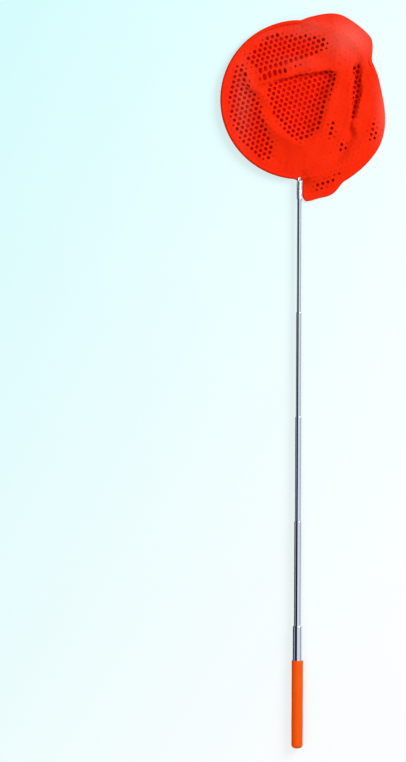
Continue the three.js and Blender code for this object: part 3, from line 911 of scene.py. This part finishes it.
# Places inside an outline, by crossings
def insideOutline(outline, a, b):
    points = np.array(outline, dtype=float)
    inside = np.zeros(a.shape, dtype=bool)
    for (a0, b0), (a1, b1) in zip(points, np.roll(points, -1, axis=0)):
        crosses = (b0 > b) != (b1 > b)
        inside ^= crosses & (a < (a1 - a0) * (b - b0) / (b1 - b0 + tiny) + a0)
    return inside


# 1 where one layer shows its holes, 0 where the cloth is double or a turned hem
def openField():
    field = np.zeros(gridA.shape)
    for share, outline in bagSet["open"]:
        field = np.maximum(field, share * insideOutline(outline, gridA, gridB))
    unsewn = (gridRadius < bagSet["turnedHem"]) | (overShare(gridDegrees) > 0.5)
    return blurred(field * unsewn, bagSet["openBlur"])


openShare = openField()

# Mesh: six-sided cells, each a ring of quads between its outline and its hole
meshSet = {
    "pitch": 6.25,
    "holeRound": 0.3,  # 0 is a six-sided hole, 1 a round one
    "shut": 0.03,  # radius of a hole that is shut
    "reach": 150.0,
    "keysPerMm": 200,  # points of two cells that fall on one key are one point
    "thick": 0.4, "sharp": 70.0, "wallSharp": 55.0,
    # painted light: patches of a paler tone where a single layer lets the white table's light through and
    # where folds catch the light: place, width both ways, share
    "thin": ((60, 74, 28, 22, 1.0), (14, 84, 34, 12, 0.5), (104, -6, 11, 56, 1.0), (-46, 82, 30, 12, 0.3),
             (0, 44, 34, 9, 0.25), (-67, -4, 10, 44, 0.55)),
}


# The middles of the cells in the flat cloth, and the corners and half-way points of one cell round its middle
def netCells(turn):
    pitch, reach = meshSet["pitch"], meshSet["reach"]
    row = pitch * math.sqrt(3) / 2
    i, j = np.meshgrid(np.arange(-int(reach / pitch), int(reach / pitch) + 1),
                       np.arange(-int(reach / row), int(reach / row) + 1), indexing="ij")
    middles = np.stack([(i + 0.5 * (j % 2)) * pitch, j * row], -1).reshape(-1, 2)
    corner = np.radians(30 + 60 * np.arange(6))
    corners = np.stack([np.cos(corner), np.sin(corner)], -1) * pitch / math.sqrt(3)
    ring = np.stack([corners, (corners + np.roll(corners, -1, axis=0)) / 2], 1).reshape(-1, 2)
    turn = math.radians(turn)
    spin = np.array([[math.cos(turn), math.sin(turn)], [-math.sin(turn), math.cos(turn)]])
    return middles @ spin, ring @ spin


# How much painted light, a paler tone, each point gets: the largest of share exp(-((x - a)/w)^2 - ((y -
# b)/h)^2)
def markPaintedLight(piece, points):
    a, b = points[:, 0], points[:, 1] - hoopY
    share = np.max([most * np.exp(-((a - midA) / wideA) ** 2 - ((b - midB) / wideB) ** 2)
                    for midA, midB, wideA, wideB, most in meshSet["thin"]], axis=0)
    layer = piece.data.attributes.new("thin", "FLOAT", "POINT")
    layer.data.foreach_set("value", share.astype(np.float32))


# Gives a sheet its thickness for good, so that hole edges stay crisp
def thickened(piece):
    wall = piece.modifiers.new("cloth", "SOLIDIFY")
    wall.thickness = meshSet["thick"] * mm
    wall.offset = 0
    thin, name = piece.data, piece.name
    piece.data = bpy.data.meshes.new_from_object(piece.evaluated_get(bpy.context.evaluated_depsgraph_get()))
    piece.modifiers.clear()
    bpy.data.meshes.remove(thin)
    piece.data.name = name
    piece.data.set_sharp_from_angle(angle=math.radians(meshSet["wallSharp"]))
    return piece


# A sheet of cloth in place of the bag's solid
def putSheet(name, points, quads, finish, uv):
    piece = putMesh(name, points, quads, finish, "net_head", meshSet["sharp"], uv)
    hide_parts("net_bag")
    markPaintedLight(piece, points)
    return thickened(piece)


# A sheet of mesh: which cells to keep, how wide their holes are and where the flat cloth goes
def buildNet(name, place, keep, holeRadius, turn, finish=knit):
    middles, ring = netCells(turn)
    sides = len(ring)
    middles = middles[keep(middles[:, 0], middles[:, 1])]
    outer = (middles[:, None, :] + ring[None]).reshape(-1, 2)
    key = np.round(outer * meshSet["keysPerMm"]).astype(np.int64)
    _, first, index = np.unique(key, axis=0, return_index=True, return_inverse=True)
    outerIndex = index.reshape(-1, sides)
    way = ring / np.linalg.norm(ring, axis=1, keepdims=True)
    way = (1 - meshSet["holeRound"]) * ring / (meshSet["pitch"] / 2) + meshSet["holeRound"] * way
    inner = middles[:, None, :] + way[None] * holeRadius(middles[:, 0], middles[:, 1])[:, None, None]
    flatPlaces = np.concatenate([outer[first], inner.reshape(-1, 2)])
    innerIndex = len(first) + np.arange(len(middles) * sides).reshape(-1, sides)
    quads = np.stack([outerIndex, np.roll(outerIndex, -1, axis=1), np.roll(innerIndex, -1, axis=1),
                      innerIndex], -1).reshape(-1, 4)
    return putSheet(name, place(flatPlaces[:, 0], flatPlaces[:, 1]), quads, finish, flatPlaces * mm)


bagFlat = flatten(clothHeight)
bagSlopes = np.gradient(clothHeight, cell)


# Draws places in to an outline
def drawnIn(a, b, edge, radius):
    inward = np.minimum(edge / np.maximum(radius, tiny), 1)
    return a * inward, b * inward


# Where a place of the flat cloth lies on the drape, its distance from the hoop's middle, the outline there
# and how much the cloth lies over the hem
def onDrape(flatA, flatB):
    a, b = unflatten(bagFlat, flatA, flatB)
    radius, degrees = polar(a, b)
    return a, b, radius, *bagEdge(degrees)


# From the flat cloth to its place: on the drape, sunk by a layer, and pushed over at the lips
def bagPlace(flatA, flatB, sink):
    a, b, radius, edge, _ = onDrape(flatA, flatB)
    a, b = drawnIn(a, b, edge, radius)
    a = np.where(besidePole(a, b), bagSet["clear"], a)
    slopeA, slopeB = (sample(slope, a, b) for slope in bagSlopes)
    steep = np.sqrt(1 + slopeA ** 2 + slopeB ** 2)
    height, rest = sample(clothHeight, a, b), bagSet["restHeight"]
    placedA, placedB = a + sink * slopeA / steep, b + sink * slopeB / steep
    for crest, way, reach in bagSet["lips"]:
        away, level = lineField(crestLines[crest], a, b)
        lift = smooth((height - rest) / np.maximum(level - rest, 1)) ** 2
        push = reach * lift * smooth(1 - away / bagSet["lipWidth"])
        placedA = placedA + push * way[0]
        placedB = placedB + push * way[1]
    return np.stack([placedA, hoopY + placedB, height - sink / steep], -1)


def makeBag():
    def keep(flatA, flatB):
        a, b, radius, edge, _ = onDrape(flatA, flatB)
        return (radius < edge + bagSet["keepPast"]) & ~besidePole(a, b)

    def holeRadius(flatA, flatB):
        a, b, radius, edge, over = onDrape(flatA, flatB)
        wide = smooth(sample(openShare, a, b) * bagSet["openGain"])
        net = bagSet["slackHole"] + (bagSet["hole"] - bagSet["slackHole"]) * wide
        sewn = (radius > bagSet["turnedHem"]) & (over < 0.5)
        folded = (radius > edge - bagSet["foldWidth"]) | besidePole(a, b, bagSet["foldWidth"])
        return np.where(sewn | folded, meshSet["shut"], net)

    return buildNet("netBag", lambda a, b: bagPlace(a, b, 0), keep, holeRadius, bagSet["turn"])


# The second layer, close under the first wherever the cloth lies double
liningSet = {"sink": 0.62, "turn": 40.0, "hole": 0.5, "shutFrom": 84.0, "inset": 3.4, "single": 0.1}


def makeLining():
    def keep(flatA, flatB):
        a, b, radius, edge, _ = onDrape(flatA, flatB)
        inset = liningSet["inset"]
        within = (radius < edge - inset) & ~besidePole(a, b, inset)
        return within & (sample(openShare, a, b) < liningSet["single"])

    def holeRadius(flatA, flatB):
        return np.where(np.hypot(flatA, flatB) > liningSet["shutFrom"], meshSet["shut"], liningSet["hole"])

    return buildNet("bagSecondLayer", lambda a, b: bagPlace(a, b, liningSet["sink"]), keep, holeRadius,
                    liningSet["turn"])


# Fold: it runs down beside the ferrule, round the corner and along the outline to where the cloth is sewn
foldSet = {
    "round": 1.4,  # radius of the bend
    "leastRound": 0.2,  # share of it where the cloth is sewn
    "lap": 2.6,  # how far it lies on the cloth
    "lift": 0.6,  # of the cloth's thickness
    "tuck": 11.0,
    "sideTuck": 5.0,  # of the upright edge beside the ferrule
    "tuckFrom": 1.0, "tuckSoft": 10.0, "lapSteps": 5, "bendSteps": 12, "backSteps": 6, "backFrom": 0.1,
    "cornerAngle": -87.0, "aroundSteps": 150, "downSteps": 6,
    "downFrom": 1.0,  # from the hoop's line
    "downTo": 4.0,  # above the corner
    "cornerPasses": 3,
}


# Rounds the corners of a path: each pass puts points at a quarter and three quarters of every span
def rounded(path, passes):
    for _ in range(passes):
        start, stop = path[:-1], path[1:]
        cut = np.stack([0.75 * start + 0.25 * stop, 0.25 * start + 0.75 * stop], 1).reshape(-1, 2)
        path = np.concatenate([path[:1], cut, path[-1:]])
    return path


def foldPath():
    clear = bagSet["clear"]
    corner = -math.degrees(math.acos(clear / bagEdge(foldSet["cornerAngle"])[0]))
    degrees = np.linspace(corner, overSet["to"], foldSet["aroundSteps"])
    edge = bagEdge(degrees)[0]
    around = np.stack([edge * np.cos(np.radians(degrees)), edge * np.sin(np.radians(degrees))], -1)
    steps = foldSet["downSteps"]
    down = np.linspace(-hoopRadius - foldSet["downFrom"], around[0, 1] + foldSet["downTo"], steps)
    upright = np.stack([np.full(steps, clear), down], -1)
    return rounded(np.concatenate([upright, around[1:]]), foldSet["cornerPasses"])


# The edge of the cloth turned under along the path: on the cloth for a little, round a half circle, then back
# beneath. Offsets s, then r sin t and 0 - r (1 - cos t), then straight back.
def makeBagFold():
    path = foldPath()
    share = bagEdge(polar(path[:, 0], path[:, 1])[1])[1]
    fromPole = path[:, 0] - bagSet["clear"] - foldSet["tuckFrom"]
    most, least = foldSet["tuck"], foldSet["sideTuck"]
    tuck = least + (most - least) * smooth(fromPole / foldSet["tuckSoft"])
    tuck = np.where(path[:, 1] > 0, most, tuck)[:, None]
    bend = (foldSet["round"] * np.maximum(share, foldSet["leastRound"]))[:, None]
    way = np.gradient(path, axis=0)
    way = way / np.linalg.norm(way, axis=1, keepdims=True)
    out = np.stack([way[:, 1], -way[:, 0]], -1)
    lap = np.linspace(-foldSet["lap"], 0, foldSet["lapSteps"])[None, :] + 0 * bend
    arc = np.linspace(0, np.pi, foldSet["bendSteps"])[None, 1:]
    back = -np.linspace(foldSet["backFrom"], 1, foldSet["backSteps"])[None, :] * tuck
    offset = np.concatenate([lap, bend * np.sin(arc), back], axis=1)
    drop = np.concatenate([0 * lap, bend * (1 - np.cos(arc)), 2 * bend + 0 * back], axis=1)
    a, b = (path[:, None, i] + out[:, None, i] * offset for i in (0, 1))
    reach = np.minimum(offset, 0) * (drop == 0)
    height = sample(clothHeight, *(path[:, None, i] + out[:, None, i] * reach for i in (0, 1)))
    onCloth = (offset + foldSet["lap"]) / foldSet["lap"] * (drop == 0)
    lift = meshSet["thick"] * foldSet["lift"] * smooth(onCloth + (drop > 0))
    points = np.stack([a, hoopY + b, height + lift - drop], -1).reshape(-1, 3)
    along = np.cumsum(np.linalg.norm(np.diff(path, axis=0, prepend=path[:1]), axis=1))
    across = np.linspace(0, 1, offset.shape[1])[None, :] * (foldSet["lap"] + tuck)
    uv = np.stack(np.broadcast_arrays(along[:, None], across), -1).reshape(-1, 2) * mm
    quads = gridQuads(len(path), offset.shape[1], False, False)[:, ::-1]
    return putSheet("bagFoldedEdge", points, quads, knit, uv)


bag = makeBag()
lining = makeLining()
bagFold = makeBagFold()
print("bag made:", *(len(piece.data.polygons) for piece in (bag, lining, bagFold)), "faces")

# Under layer: the end of the bag, folded beneath, which shows through the holes
underSet = {
    "height": 1.75, "radius": 87.0,
    "inset": 4.0,  # from the outline of the cloth above it
    "to": (24.0, 8.0),  # where it stops following that outline, and how fast
    "edgeGap": 0.3, "turn": 31.0, "ripple": 0.2,
    "waves": (9.0, 13.0, 17.0),  # mm for one radian
    # the mesh that faces the table
    "underside": {"radius": 83.0, "sink": 0.95, "hole": 2.0, "turn": -14.0},
}


def underEdge(degrees):
    edge, share = bagEdge(degrees)
    high, soft = underSet["to"]
    past = (edge - underSet["inset"] - underSet["radius"]) * share
    return underSet["radius"] + past * smooth((high - degrees) / soft)


# A nearly flat sheet: height + ripple (sin(a/9 + 1) cos(b/13) + sin((a + b)/17))/2
def underHeight(a, b):
    first, second, both = underSet["waves"]
    wave = np.sin(a / first + 1) * np.cos(b / second) + np.sin((a + b) / both)
    return underSet["height"] + underSet["ripple"] * wave / 2


def makeUnder():
    def keep(a, b):
        radius, degrees = polar(a, b)
        return (radius < underEdge(degrees)) & ~besidePole(a, b, underSet["inset"])

    def place(a, b):
        radius, degrees = polar(a, b)
        a, b = drawnIn(a, b, underEdge(degrees) - underSet["edgeGap"], radius)
        return np.stack([a, hoopY + b, underHeight(a, b)], -1)

    # the under layer takes the deeper red copy of the cloth, painted shade
    return buildNet("bagUnderLayer", place, keep, lambda a, b: np.full(a.shape, meshSet["shut"]),
                    underSet["turn"], knitPaintedShade)


def makeUnderside():
    spec = underSet["underside"]

    def place(a, b):
        return np.stack([a, hoopY + b, underHeight(a, b) - spec["sink"]], -1)

    return buildNet("bagUnderside", place, lambda a, b: np.hypot(a, b) < spec["radius"],
                    lambda a, b: np.full(a.shape, spec["hole"]), spec["turn"])


under = makeUnder()
underside = makeUnderside()
print("under layers made:", len(under.data.polygons), len(underside.data.polygons), "faces")

# Seam: a row of stitches through hem and bag
stitchSet = {
    "radius": 86.6, "from": 97.0, "to": 268.0,
    "step": 3.4,  # mm from stitch to stitch
    "length": 2.3, "thread": 0.32,
    "tip": 0.02,  # least share of the thread's section at its ends
    "rings": 7, "sides": 6, "lift": 0.22, "dip": 0.5, "sharp": 60.0,
}


# Each stitch is a short rod whose ends dip into the cloth: height + lift - dip s^4, s from -1 to 1, and as
# thick as thread sqrt(1 - s^8)
def makeStitches():
    radius, rings, sides = stitchSet["radius"], stitchSet["rings"], stitchSet["sides"]
    count = int(math.radians(stitchSet["to"] - stitchSet["from"]) * radius / stitchSet["step"])
    middle = np.radians(np.linspace(stitchSet["from"], stitchSet["to"], count))
    s = np.linspace(-1, 1, rings)[None, :]
    turn = middle[:, None] + s * stitchSet["length"] / 2 / radius
    thick = (stitchSet["thread"] * np.sqrt(np.maximum(1 - s ** 8, stitchSet["tip"])))[:, :, None]
    a, b = radius * np.cos(turn), radius * np.sin(turn)
    height = sample(clothHeight, a, b) + meshSet["thick"] / 2 + stitchSet["lift"] - stitchSet["dip"] * s ** 4
    side = fullTurn(sides)
    out = 1 + thick * np.cos(side) / radius
    points = np.stack([a[..., None] * out, hoopY + b[..., None] * out,
                       height[..., None] + thick * np.sin(side)], -1)
    one = gridQuads(rings, sides)
    quads = one[None] + (np.arange(count) * rings * sides)[:, None, None]
    return putMesh("hemStitches", points.reshape(-1, 3), quads.reshape(-1, 4), thread, "net_head",
                   stitchSet["sharp"])


stitches = makeStitches()
print("seam made")

scene.view_settings.view_transform = "Standard"
print("scene done")
